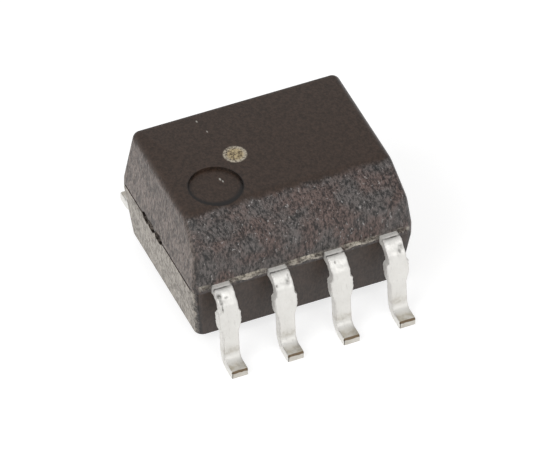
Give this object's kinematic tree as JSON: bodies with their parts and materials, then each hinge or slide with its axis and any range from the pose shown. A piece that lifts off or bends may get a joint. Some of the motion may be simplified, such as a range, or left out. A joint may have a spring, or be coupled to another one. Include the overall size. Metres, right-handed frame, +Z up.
{
  "type": "small-outline optocoupler chip",
  "caption": "Surface-mount small-outline chip: a thick black moulded body with a bevelled pin 1 edge and gull-wing leads along both long sides.",
  "frame": {"origin": "centre of the footprint, on the surface of the board, under the middle of the body", "axes": "+X along the lead rows, from lead 1 to lead 4; +Y across the body, from the pin 1 edge towards leads 5 to 8; +Z up, away from the board"},
  "size_m": [0.005, 0.006, 0.0031],
  "materials": {
    "moulded_epoxy": "charcoal moulding compound, smooth on top and spark-eroded grain on the bevel and sides",
    "tinned_lead": "matte tin plate over copper alloy, bare copper at the cut tips",
    "emitter_chip": "polished light-emitting die",
    "detector_chip": "polished silicon die",
    "silver_epoxy": "silver-filled epoxy",
    "gold_wire": "bright gold",
    "clear_gel": "clear silicone gel"
  },
  "bodies": {
    "root": {"body": "moulded_epoxy", "lead_1": "tinned_lead", "lead_2": "tinned_lead", "lead_3": "tinned_lead", "lead_4": "tinned_lead", "lead_5": "tinned_lead", "lead_6": "tinned_lead", "lead_7": "tinned_lead", "lead_8": "tinned_lead", "emitter_die": "emitter_chip", "emitter_die_attach": "silver_epoxy", "detector_die": "detector_chip", "detector_die_attach": "silver_epoxy", "emitter_wire": "gold_wire", "supply_wire": "gold_wire", "output_wire": "gold_wire", "ground_wire": "gold_wire", "coupling_gel": "clear_gel"}
  },
  "joints": []
}
